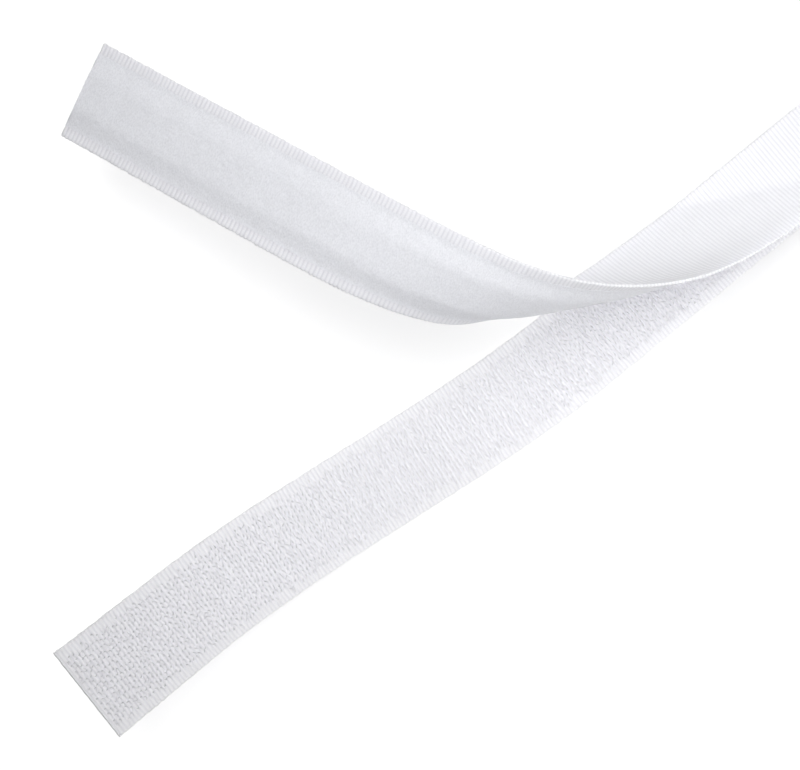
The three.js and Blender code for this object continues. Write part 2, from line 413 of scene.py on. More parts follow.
def finished(mesh: bpy.types.Mesh, points: np.ndarray) -> bpy.types.Object:
    """Puts a mesh's vertices in place and links it as an object of the same name.

    Args:
        mesh: the mesh.
        points: places of its vertices in the row frame.

    Returns:
        The object.
    """
    mesh.vertices.foreach_set("co", points.astype(np.float32).ravel())
    mesh.shade_smooth()
    mesh.update()
    piece = bpy.data.objects.new(mesh.name, mesh)
    bpy.context.scene.collection.objects.link(piece)
    return piece


def sharpen_at(mesh: bpy.types.Mesh, flat: np.ndarray, place: float) -> None:
    """Marks a strip's edges at one place along it as sharp, so that two stretches meet without a line.

    Args:
        mesh: mesh of the strip.
        flat: its flat points.
        place: flat x of the end.
    """
    ends = np.empty(2 * len(mesh.edges), dtype=np.int32)
    mesh.edges.foreach_get("vertices", ends)
    at_place = np.abs(flat[ends.reshape(-1, 2), 0] - place) < SAME_PLACE
    marks = mesh.attributes.new("sharp_edge", "BOOLEAN", "EDGE")
    marks.data.foreach_set("value", at_place.all(axis=1))


def mesh_from(bm: bmesh.types.BMesh, name: str) -> bpy.types.Mesh:
    """Turns a bmesh, its normals made to point outwards, into a mesh.

    Args:
        bm: the bmesh, which is freed.
        name: name of the mesh.

    Returns:
        The mesh.
    """
    bmesh.ops.recalc_face_normals(bm, faces=bm.faces[:])
    mesh = bpy.data.meshes.new(name)
    bm.to_mesh(mesh)
    bm.free()
    return mesh


def strip_mesh(name: str, rows: int, columns: int) -> bpy.types.Mesh:
    """A closed flat strip whose vertices sit at their row, their column, and 0 or 1 for back or face.

    Args:
        name: name of the mesh.
        rows: faces along the strip.
        columns: faces across it.

    Returns:
        The strip's mesh.
    """
    bm = bmesh.new()
    bmesh.ops.create_grid(bm, x_segments=rows, y_segments=columns, size=0.5)
    bmesh.ops.translate(bm, verts=bm.verts[:], vec=(0.5, 0.5, 0.0))
    bmesh.ops.scale(bm, verts=bm.verts[:], vec=(rows, columns, 1.0))
    raised = bmesh.ops.extrude_face_region(bm, geom=bm.faces[:])["geom"]
    face_verts = [part for part in raised if isinstance(part, bmesh.types.BMVert)]
    bmesh.ops.translate(bm, verts=face_verts, vec=UP)
    return mesh_from(bm, name)


def strip_places(mesh: bpy.types.Mesh) -> tuple[np.ndarray, np.ndarray, np.ndarray]:
    """Reads where the vertices of a plain strip sit.

    Args:
        mesh: mesh of the strip.

    Returns:
        Each vertex's row and column, and whether it is on the upper side.
    """
    points = points_of(mesh)
    row, column = np.rint(points[:, :2]).astype(int).T
    return row, column, points[:, 2] > 0.5


def bent_strand(path: Path, radius: float, sides: int, tip: float) -> bmesh.types.BMesh:
    """A thin strand that bends in the xz plane.

    Args:
        path: points along the strand, as x and z.
        radius: half its thickness.
        sides: sides of its section.
        tip: thickness of its end as a share of its thickness.

    Returns:
        The strand, extruded along its path.
    """
    bm = bmesh.new()
    bmesh.ops.create_circle(bm, cap_ends=True, segments=sides, radius=radius)
    spots = [Vector((x, 0.0, z)) for x, z in path]
    ways = [(b - a).normalized() for a, b in zip(spots, spots[1:])]
    bmesh.ops.translate(bm, verts=bm.verts[:], vec=spots[0])
    cap, facing = bm.faces[:], UP
    for index, spot in enumerate(spots[1:]):
        grown = bmesh.ops.extrude_face_region(bm, geom=cap)["geom"]
        cap = [part for part in grown if isinstance(part, bmesh.types.BMFace)]
        verts = cap[0].verts[:]
        bmesh.ops.translate(bm, verts=verts, vec=spot - spots[index])
        onward = (ways[index] + ways[min(index + 1, len(ways) - 1)]).normalized()
        turned = facing.rotation_difference(onward).to_matrix()
        bmesh.ops.rotate(bm, cent=spot, matrix=turned, verts=verts)
        facing = onward
    bmesh.ops.scale(bm, vec=(tip, tip, tip), space=Matrix.Translation(-spots[-1]), verts=cap[0].verts[:])
    return bm


def copies(bm: bmesh.types.BMesh, count: int) -> None:
    """Copies a strand in place until the mesh holds enough, each a block of vertices.

    Args:
        bm: bmesh that holds the strand alone.
        count: number of strands to end with.
    """
    kinds = (bm.verts, bm.edges, bm.faces)
    sizes = [len(kind) for kind in kinds]
    made = 1
    while made < count:
        more = min(made, count - made)
        geom = [part for kind, size in zip(kinds, sizes) for part in kind[: size * more]]
        bmesh.ops.duplicate(bm, geom=geom)
        made += more
        for kind in kinds:
            kind.ensure_lookup_table()


@dataclass(frozen=True)
class Spots:
    """Where the strands of a field stand on the flat tape, and how each differs from the pattern."""

    base: np.ndarray
    turn: np.ndarray
    size: np.ndarray
    tint: np.ndarray

    def place(self, pattern: np.ndarray) -> np.ndarray:
        """Flat points of every strand, from the blocks of copies of one.

        Args:
            pattern: vertices of the copies, which all stand at the origin.

        Returns:
            The flat points, block after block.
        """
        blocks = pattern.reshape(len(self.base), -1, 3) * self.size[:, None, :]
        cos, sin = np.cos(self.turn)[:, None], np.sin(self.turn)[:, None]
        turned = blocks.copy()
        turned[:, :, 0] = cos * blocks[:, :, 0] - sin * blocks[:, :, 1]
        turned[:, :, 1] = sin * blocks[:, :, 0] + cos * blocks[:, :, 1]
        return (turned + self.base[:, None, :]).reshape(-1, 3)


def strand_field(name: str, pattern: bmesh.types.BMesh, spots: Spots, line: TapeLine) -> bpy.types.Object:
    """Sets copies of a strand on a tape.

    Args:
        name: name of the piece.
        pattern: one strand at the origin.
        spots: where the copies stand.
        line: line of the tape that carries them.

    Returns:
        The piece.
    """
    copies(pattern, len(spots.base))
    mesh = mesh_from(pattern, name)
    flat = spots.place(points_of(mesh))
    per_strand = len(flat) // len(spots.base)
    keep_attribute(mesh, FLAT, flat)
    keep_attribute(mesh, TINT, np.repeat(spots.tint, per_strand))
    return finished(mesh, line.lay(flat, float(spots.base[:, 2].mean())))


@dataclass(frozen=True)
class Ground:
    """A woven ground tape: ribs of weft on both faces, and selvedges that end in small scallops."""

    sizes: TapeSizes
    base: float
    top: float
    face_depth: float
    back_depth: float
    uneven: float
    scallop: float = 0.2 * MM
    edge_round: float = 0.32 * MM
    edge_thinning: float = 0.8
    edge_flattening: float = 0.5
    cut_jitter: float = 0.1 * MM
    selvedge_columns: tuple[float, ...] = (0.0, 0.1 * MM, 0.3 * MM, 0.75 * MM, 1.5 * MM)
    free_columns: int = 28
    wound_columns: int = 5
    free_rows_per_rib: int = 4
    wound_rows_per_rib: int = 2

    @property
    def middle(self) -> float:
        """Height of the tape's middle."""
        return (self.base + self.top) / 2.0

    def columns(self, count: int) -> np.ndarray:
        """Places of the columns across the tape, close together at the edges.

        Args:
            count: number of columns in the field.

        Returns:
            The places, from one edge to the other.
        """
        near = -self.sizes.half_width + np.array(self.selvedge_columns)
        field_columns = np.linspace(-self.sizes.half_field, self.sizes.half_field, count + 1)
        return np.concatenate([near, field_columns, -near[::-1]])

    def flat_points(self, x: np.ndarray, y: np.ndarray, face: np.ndarray, cell: np.ndarray) -> np.ndarray:
        """Gives a plain strip its ribs.

        Args:
            x: place of each vertex along the flat tape.
            y: its place across.
            face: whether it is on the face.
            cell: unevenness of its rib there, from -1 to 1.

        Returns:
            The flat points.
        """
        rib = np.abs(np.sin(np.pi * x / self.sizes.rib_pitch))
        low = 0.5 * (1.0 + cell)
        to_edge = np.abs(y) - self.sizes.half_width + self.edge_round
        near_edge = np.clip(to_edge / self.edge_round, 0.0, 1.0)
        half_thick = (self.top - self.base) / 2.0 * np.sqrt(1.0 - self.edge_thinning * near_edge**2)
        depth = np.where(face, self.face_depth, self.back_depth)
        sunk = depth * (1.0 - rib) + self.uneven * low * rib * face
        above = half_thick - sunk * (1.0 - self.edge_flattening * near_edge)
        height = self.middle + np.where(face, 1.0, -1.0) * above
        drawn = y - np.sign(y) * self.scallop * (1.0 - rib + low * rib) * near_edge
        return np.column_stack([x, drawn, height])

    def build(self, name: str, stretch: Stretch, line: TapeLine, seed: int) -> bpy.types.Object:
        """Weaves one stretch and lays it along its line.

        Args:
            name: name of the piece.
            stretch: which stretch of the tape it is.
            line: line that it follows.
            seed: seed of its unevenness.

        Returns:
            The piece.
        """
        sizes, free = self.sizes, stretch is Stretch.FREE
        per_rib = self.free_rows_per_rib if free else self.wound_rows_per_rib
        start, end = line.span(sizes, stretch, self.middle)
        rows = round((end - start) / sizes.rib_pitch * per_rib)
        columns = self.columns(self.free_columns if free else self.wound_columns)
        mesh = strip_mesh(name, rows, len(columns) - 1)
        row, column, upper = strip_places(mesh)
        draws = np.random.default_rng(seed)
        cells = draws.uniform(-1.0, 1.0, (rows // per_rib + 2, len(columns)))
        cut = draws.uniform(0.0, 1.0, len(columns)) * self.cut_jitter
        x = start + row * sizes.rib_pitch / per_rib
        flat = self.flat_points(x, columns[column], upper, cells[row // per_rib, column])
        if free:
            flat[row == 0, 0] += cut[column[row == 0]]
        keep_attribute(mesh, FLAT, flat)
        piece = finished(mesh, line.lay(flat, self.middle))
        sharpen_at(mesh, flat, sizes.meeting)
        return piece


@dataclass(frozen=True)
class Pile:
    """A felted layer on a tape's field, with a soft uneven face and rounded edges."""

    sizes: TapeSizes
    root: float
    face: float
    rough: float
    ragged: float = 0.1 * MM
    ragged_power: int = 8
    edge_round: float = 4.6 * MM
    end_round: float = 0.3 * MM
    free_cell: float = 0.42 * MM
    wound_cell: float = 1.1 * MM
    free_columns: int = 38
    wound_columns: int = 8
    least: float = 0.08
    sharp_angle: float = math.radians(45.0)

    def surface(self, x: np.ndarray, y: np.ndarray) -> np.ndarray:
        """Height of the pile's face, which thins out towards the selvedges and the cut end.

        Args:
            x: places along the flat tape.
            y: places across it.

        Returns:
            The heights.
        """
        from_edge = smooth((self.sizes.half_field - np.abs(y)) / self.edge_round)
        from_end = smooth((x - self.sizes.free_end) / self.end_round)
        return self.root + (self.face - self.root) * (self.least + (1.0 - self.least) * from_edge * from_end)

    def build(self, name: str, stretch: Stretch, line: TapeLine, seed: int) -> bpy.types.Object:
        """Builds one stretch and lays it along its line.

        Args:
            name: name of the piece.
            stretch: which stretch of the tape it is.
            line: line that it follows.
            seed: seed of its unevenness.

        Returns:
            The piece.
        """
        sizes, free = self.sizes, stretch is Stretch.FREE
        middle = (self.root + self.face) / 2.0
        start, end = line.span(sizes, stretch, middle)
        rows = round((end - start) / (self.free_cell if free else self.wound_cell))
        columns = self.free_columns if free else self.wound_columns
        mesh = strip_mesh(name, rows, columns)
        row, column, upper = strip_places(mesh)
        draws = np.random.default_rng(seed)
        bumps = draws.normal(0.0, 1.0, (rows + 1, columns + 1))
        edges = draws.uniform(-1.0, 1.0, (rows + 1, 2)) * self.ragged
        across = -1.0 + 2.0 * column / columns
        astray = edges[row, (across > 0).astype(int)] * np.abs(across) ** self.ragged_power
        x, y = start + (end - start) * row / rows, across * (sizes.half_field + astray)
        toward_face = upper if self.face > self.root else ~upper
        face = self.surface(x, y) + self.rough * bumps[row, column]
        flat = np.column_stack([x, y, np.where(toward_face, face, self.root)])
        keep_attribute(mesh, FLAT, flat)
        piece = finished(mesh, line.lay(flat, middle))
        piece.data.set_sharp_from_angle(angle=self.sharp_angle)
        return piece


class Graph:
    """Adds and links the nodes of one node tree."""

    def __init__(self, tree: bpy.types.NodeTree) -> None:
        """Starts with an empty tree."""
        self.tree = tree
        tree.nodes.clear()

    def add(self, kind: str, **settings: object) -> bpy.types.Node:
        """Adds a node.

        Args:
            kind: type of the node.
            settings: values of its own properties.

        Returns:
            The node.
        """
        node = self.tree.nodes.new(kind)
        for name, value in settings.items():
            setattr(node, name, value)
        return node

    def feed(self, socket: bpy.types.NodeSocket, value: object) -> None:
        """Gives a socket a constant, or links another socket to it.

        Args:
            socket: input of a node.
            value: the constant, or the output of another node.
        """
        if isinstance(value, bpy.types.NodeSocket):
            self.tree.links.new(value, socket)
        else:
            socket.default_value = value

    def give(self, node: bpy.types.Node, values: dict[str, object]) -> None:
        """Feeds a node's inputs, by name."""
        for name, value in values.items():
            self.feed(node.inputs[name], value)

    def math(self, operation: str, *values: object) -> bpy.types.NodeSocket:
        """Adds a Math node.

        Args:
            operation: what it works out.
            values: sockets or constants, in the order of its inputs.

        Returns:
            Its result.
        """
        node = self.add("ShaderNodeMath", operation=operation)
        for socket, value in zip(node.inputs, values):
            self.feed(socket, value)
        return node.outputs[0]

    def attribute(self, name: str, output: str) -> bpy.types.NodeSocket:
        """One of a piece's own attributes."""
        return self.add("ShaderNodeAttribute", attribute_name=name).outputs[output]

    def scaled(
        self, vector: bpy.types.NodeSocket, scale: tuple[float, float, float]
    ) -> bpy.types.NodeSocket:
        """Scales a vector.

        Args:
            vector: the vector.
            scale: factor on each axis.

        Returns:
            The scaled vector.
        """
        node = self.add("ShaderNodeVectorMath", operation="MULTIPLY")
        self.feed(node.inputs[0], vector)
        self.feed(node.inputs[1], scale)
        return node.outputs[0]

    def noise(self, vector: bpy.types.NodeSocket, scale: float, detail: float) -> bpy.types.NodeSocket:
        """Adds a Noise Texture.

        Args:
            vector: its coordinates.
            scale: how fine it is.
            detail: octaves of finer noise.

        Returns:
            Its value, around 0.5.
        """
        node = self.add("ShaderNodeTexNoise")
        self.give(node, {"Vector": vector, "Scale": scale, "Detail": detail})
        return node.outputs["Fac"]

    def blend(self, share: bpy.types.NodeSocket, first: object, second: object) -> bpy.types.NodeSocket:
        """Mixes two colours.

        Args:
            share: share of the second colour.
            first: the first colour.
            second: the second colour.

        Returns:
            The mixed colour.
        """
        node = self.add("ShaderNodeMix", data_type="RGBA")
        for index, value in ((0, share), (6, first), (7, second)):
            self.feed(node.inputs[index], value)
        return node.outputs[2]

    def spread(
        self, value: bpy.types.NodeSocket, low: float, high: float, top: float = 1.0
    ) -> bpy.types.NodeSocket:
        """Maps a value to another span.

        Args:
            value: value from 0 to the top.
            low: what 0 becomes.
            high: what the top becomes.
            top: highest value.

        Returns:
            The mapped value.
        """
        node = self.add("ShaderNodeMapRange")
        self.give(node, {"Value": value, "From Max": top, "To Min": low, "To Max": high})
        return node.outputs["Result"]

    def bump(self, height: bpy.types.NodeSocket, strength: float, distance: float) -> bpy.types.NodeSocket:
        """Adds a Bump node.

        Args:
            height: height of the relief, around 0 to 1.
            strength: share of the relief that shows.
            distance: depth of the relief.

        Returns:
            Its normal.
        """
        node = self.add("ShaderNodeBump")
        self.give(node, {"Strength": strength, "Distance": distance, "Height": height})
        return node.outputs["Normal"]

    def group(self, tree: bpy.types.NodeTree, values: dict[str, object]) -> bpy.types.Node:
        """Places a node group.

        Args:
            tree: the group.
            values: values of its inputs, by name.

        Returns:
            The group's node.
        """
        node = self.add("ShaderNodeGroup", node_tree=tree)
        self.give(node, values)
        return node


def new_group(
    name: str, inputs: dict[str, str], outputs: tuple[str, ...]
) -> tuple[Graph, bpy.types.Node, bpy.types.Node]:
    """Starts a shader node group.

    Args:
        name: name of the group.
        inputs: kind of socket of each input.
        outputs: names of the values that it puts out.

    Returns:
        The group's graph, and its input and output nodes.
    """
    tree = bpy.data.node_groups.new(name, "ShaderNodeTree")
    for socket, kind in inputs.items():
        tree.interface.new_socket(name=socket, in_out="INPUT", socket_type=kind)
    for socket in outputs:
        tree.interface.new_socket(name=socket, in_out="OUTPUT", socket_type="NodeSocketFloat")
    graph = Graph(tree)
    return graph, graph.add("NodeGroupInput"), graph.add("NodeGroupOutput")


@dataclass
class Effects:
    """Effects that several finishes share, each a node group."""

    warp_share: float = 0.45
    fibre_scale: float = 5200.0
    fibre_detail: float = 2.0
    fibre_draw: tuple[float, float, float] = (1.0, 0.45, 1.0)
    patch_scale: float = 330.0
    patch_detail: float = 3.0
    weave: bpy.types.NodeTree = field(init=False)
    fibres: bpy.types.NodeTree = field(init=False)

    def __post_init__(self) -> None:
        """Builds the groups."""
        self.weave = self.build_weave()
        self.fibres = self.build_fibres()

    def build_weave(self) -> bpy.types.NodeTree:
        """Ribs of weft bound by warp threads that step sideways at every other rib.

        Returns:
            The group, which puts out how high the thread stands.
        """
        floats = "NodeSocketFloat"
        inputs = {"Flat": "NodeSocketVector", "Rib Pitch": floats, "Warp Pitch": floats}
        graph, given, out = new_group("woven_ribs", inputs, ("Height",))
        axes = graph.add("ShaderNodeSeparateXYZ")
        graph.feed(axes.inputs[0], given.outputs["Flat"])
        rib = graph.math("DIVIDE", axes.outputs["X"], given.outputs["Rib Pitch"])
        warp = graph.math("DIVIDE", axes.outputs["Y"], given.outputs["Warp Pitch"])
        step = graph.math("MULTIPLY", graph.math("FLOORED_MODULO", graph.math("FLOOR", rib), 2.0), 0.5)
        waves = []
        for phase in (rib, graph.math("ADD", warp, step)):
            sine = graph.math("SINE", graph.math("MULTIPLY", phase, math.pi))
            waves.append(graph.math("ABSOLUTE", sine))
        bound = graph.math("MULTIPLY_ADD", waves[1], self.warp_share, 1.0 - self.warp_share)
        graph.feed(out.inputs["Height"], graph.math("MULTIPLY", waves[0], bound))
        return graph.tree

    def build_fibres(self) -> bpy.types.NodeTree:
        """Fine fibres and soft patches.

        Returns:
            The group, which puts out a fine value and a coarse one, both around 0.5.
        """
        graph, given, out = new_group("fine_fibres", {"Flat": "NodeSocketVector"}, ("Fine", "Patch"))
        flat = given.outputs["Flat"]
        drawn = graph.scaled(flat, self.fibre_draw)
        graph.feed(out.inputs["Fine"], graph.noise(drawn, self.fibre_scale, self.fibre_detail))
        graph.feed(out.inputs["Patch"], graph.noise(flat, self.patch_scale, self.patch_detail))
        return graph.tree


def milky(reach: float) -> dict[str, object]:
    """Inputs of a shader that let light spread so far inside a white fibre before it comes out again."""
    return {"Subsurface Weight": 1.0, "Subsurface Radius": (1.0, 1.0, 1.0), "Subsurface Scale": reach}


class Finish(ABC):
    """A finish that makes one material."""

    name: str

    @abstractmethod
    def dress(self, graph: Graph, shader: bpy.types.Node, effects: Effects) -> None:
        """Feeds the shader of the finish's material.

        Args:
            graph: graph of the material.
            shader: shader of the material.
            effects: node groups that finishes share.
        """

    def material(self, effects: Effects) -> bpy.types.Material:
        """Makes the material.

        Args:
            effects: node groups that finishes share.

        Returns:
            The material.
        """
        made = bpy.data.materials.new(self.name)
        made.use_nodes = True
        graph = Graph(made.node_tree)
        shader = graph.add("ShaderNodeBsdfPrincipled")
        end = graph.add("ShaderNodeOutputMaterial")
        graph.feed(end.inputs["Surface"], shader.outputs["BSDF"])
        self.dress(graph, shader, effects)
        return made


@dataclass(frozen=True)
class WeaveFinish(Finish):
    """White woven polyamide, matt, with painted shade that darkens the gaps between its threads."""

    name: str
    rib_pitch: float
    warp_pitch: float = 0.42 * MM
    # painted shade: the gap colour darkens the gaps between threads, and the gap power sets how far it
    # reaches up the threads
    gap_shade_colour: Colour = (0.80, 0.795, 0.845, 1.0)
    thread_colour: Colour = (0.945, 0.94, 0.985, 1.0)
    gap_shade_power: float = 1.0
    fibre_speckle: float = 0.5
    fibre_relief: float = 0.4
    relief: float = 0.06 * MM
    relief_share: float = 0.6
    roughness: Span = (0.7, 0.9)
    sheen: float = 0.25
    specular: float = 0.3
    milky_reach: float = 0.8 * MM

    def dress(self, graph: Graph, shader: bpy.types.Node, effects: Effects) -> None:
        """Colours the threads by their height, with painted shade in the gaps between them, and gives them a
        fine relief.

        Args:
            graph: graph of the material.
            shader: shader of the material.
            effects: node groups that finishes share.
        """
        flat = graph.attribute(FLAT, "Vector")
        pitches = {"Rib Pitch": self.rib_pitch, "Warp Pitch": self.warp_pitch}
        thread = graph.group(effects.weave, {"Flat": flat, **pitches}).outputs["Height"]
        fibres = graph.group(effects.fibres, {"Flat": flat})
        fine = fibres.outputs["Fine"]
        # painted shade: the lower the thread stands, the more of the darker gap colour it takes
        raised = graph.math("POWER", thread, self.gap_shade_power)
        share = graph.math("MULTIPLY_ADD", graph.math("SUBTRACT", fine, 0.5), self.fibre_speckle, raised)
        height = graph.math("MULTIPLY_ADD", fine, self.fibre_relief, thread)
        graph.give(shader, {
            "Base Color": graph.blend(share, self.gap_shade_colour, self.thread_colour),
            "Roughness": graph.spread(fibres.outputs["Patch"], *self.roughness),
            "Normal": graph.bump(height, self.relief_share, self.relief),
            "Sheen Weight": self.sheen,
            "Specular IOR Level": self.specular,
            **milky(self.milky_reach),
        })


@dataclass(frozen=True)
class MonofilamentFinish(Finish):
    """Milky nylon wire with a satin gloss."""

    name: str = "nylon_monofilament"
    low_colour: Colour = (0.885, 0.88, 0.925, 1.0)
    high_colour: Colour = (0.95, 0.945, 0.985, 1.0)
    roughness: Span = (0.35, 0.65)
    specular: float = 0.35
    milky_reach: float = 0.8 * MM

    def dress(self, graph: Graph, shader: bpy.types.Node, effects: Effects) -> None:
        """Varies the colour from strand to strand and the gloss along it.

        Args:
            graph: graph of the material.
            shader: shader of the material.
            effects: node groups that finishes share.
        """
        tint = graph.attribute(TINT, "Fac")
        fibres = graph.group(effects.fibres, {"Flat": graph.attribute(FLAT, "Vector")})
        graph.give(shader, {
            "Base Color": graph.blend(tint, self.low_colour, self.high_colour),
            "Roughness": graph.spread(fibres.outputs["Fine"], *self.roughness),
            "Specular IOR Level": self.specular,
            **milky(self.milky_reach),
        })


@dataclass(frozen=True)
class PileFinish(Finish):
    """Napped loops, matt and soft, with fine speckle."""

    name: str = "napped_pile"
    low_colour: Colour = (0.765, 0.772, 0.812, 1.0)
    high_colour: Colour = (0.91, 0.918, 0.96, 1.0)
    speckle_gain: float = 2.3
    speckle_start: float = -0.72
    patch_share: float = 0.35
    relief: float = 0.12 * MM
    relief_share: float = 0.5
    roughness: Span = (0.85, 1.0)
    sheen: float = 0.5
    specular: float = 0.2

    def dress(self, graph: Graph, shader: bpy.types.Node, effects: Effects) -> None:
        """Mottles the pile by its fibres.

        Args:
            graph: graph of the material.
            shader: shader of the material.
            effects: node groups that finishes share.
        """
        fibres = graph.group(effects.fibres, {"Flat": graph.attribute(FLAT, "Vector")})
        fine, patch = fibres.outputs["Fine"], fibres.outputs["Patch"]
        speckle = graph.math("MULTIPLY_ADD", fine, self.speckle_gain, self.speckle_start)
        share = graph.math("MULTIPLY_ADD", patch, self.patch_share, speckle)
        graph.give(shader, {
            "Base Color": graph.blend(share, self.low_colour, self.high_colour),
            "Roughness": graph.spread(patch, *self.roughness),
            "Normal": graph.bump(fine, self.relief_share, self.relief),
            "Sheen Weight": self.sheen,
            "Specular IOR Level": self.specular,
        })


@dataclass(frozen=True)
class BoardFinish(Finish):
    """Grey board, wound on a slant, with paper fibres and a seam between its plies."""

    centre: Vector
    name: str = "core_board"
    ply_width: float = 30.0 * MM
    low_colour: Colour = (0.36, 0.325, 0.27, 1.0)
    high_colour: Colour = (0.56, 0.52, 0.45, 1.0)
    seam_colour: Colour = (0.24, 0.21, 0.17, 1.0)
    seam_half: float = 0.012
    seam_depth: float = 0.8
    fine_share: float = 0.5
    patch_share: float = 0.6
    relief: float = 0.15 * MM
    relief_share: float = 0.5
    roughness: Span = (0.8, 0.95)
    specular: float = 0.2

    def dress(self, graph: Graph, shader: bpy.types.Node, effects: Effects) -> None:
        """Mottles the board and draws the slanting seam of its ply.

        Args:
            graph: graph of the material.
            shader: shader of the material.
            effects: node groups that finishes share.
        """
        centred = graph.add("ShaderNodeMapping")
        coordinates = graph.add("ShaderNodeTexCoord").outputs["Object"]
        graph.give(centred, {"Vector": coordinates, "Location": -self.centre})
        fibres = graph.group(effects.fibres, {"Flat": centred.outputs["Vector"]})
        fine, patch = fibres.outputs["Fine"], fibres.outputs["Patch"]
        axes = graph.add("ShaderNodeSeparateXYZ")
        graph.feed(axes.inputs[0], centred.outputs["Vector"])
        angle = graph.math("ARCTAN2", axes.outputs["Z"], axes.outputs["X"])
        around = graph.math("DIVIDE", angle, 2.0 * math.pi)
        ply = graph.math("ADD", graph.math("DIVIDE", axes.outputs["Y"], self.ply_width), around)
        to_seam = graph.math("ABSOLUTE", graph.math("SUBTRACT", graph.math("FRACT", ply), 0.5))
        seam = graph.math("LESS_THAN", to_seam, self.seam_half)
        patches = graph.math("MULTIPLY", patch, self.patch_share)
        grain = graph.math("MULTIPLY_ADD", fine, self.fine_share, patches)
        board = graph.blend(grain, self.low_colour, self.high_colour)
        height = graph.math("SUBTRACT", fine, graph.math("MULTIPLY", seam, self.seam_depth))
        graph.give(shader, {
            "Base Color": graph.blend(seam, board, self.seam_colour),
            "Roughness": graph.spread(patch, *self.roughness),
            "Normal": graph.bump(height, self.relief_share, self.relief),
            "Specular IOR Level": self.specular,
        })


@dataclass(frozen=True)
class Joint:
    """A bend of the tapes at one of the part's joints: its body, start, way and length."""

    child: str
    start: Vector
    way: Vector
    length: float

    def bend(self, piece: bpy.types.Object) -> None:
        """Bakes a piece's placement into its mesh; the piece is not bent."""
        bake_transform(piece)


def fit(
    piece: bpy.types.Object, material: bpy.types.Material, slot: str, joint: Joint, *nodes: str,
    height: float = 0.0,
) -> None:
    """Args:
        piece: the piece.
        material: its material.
        slot: not used.
        joint: joint whose bend only bakes the piece's placement into its mesh.
        nodes: solids that it stands for.
        height: not used.
    """
    piece.data.materials.append(material)
    joint.bend(piece)
    if nodes:
        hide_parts(*nodes)


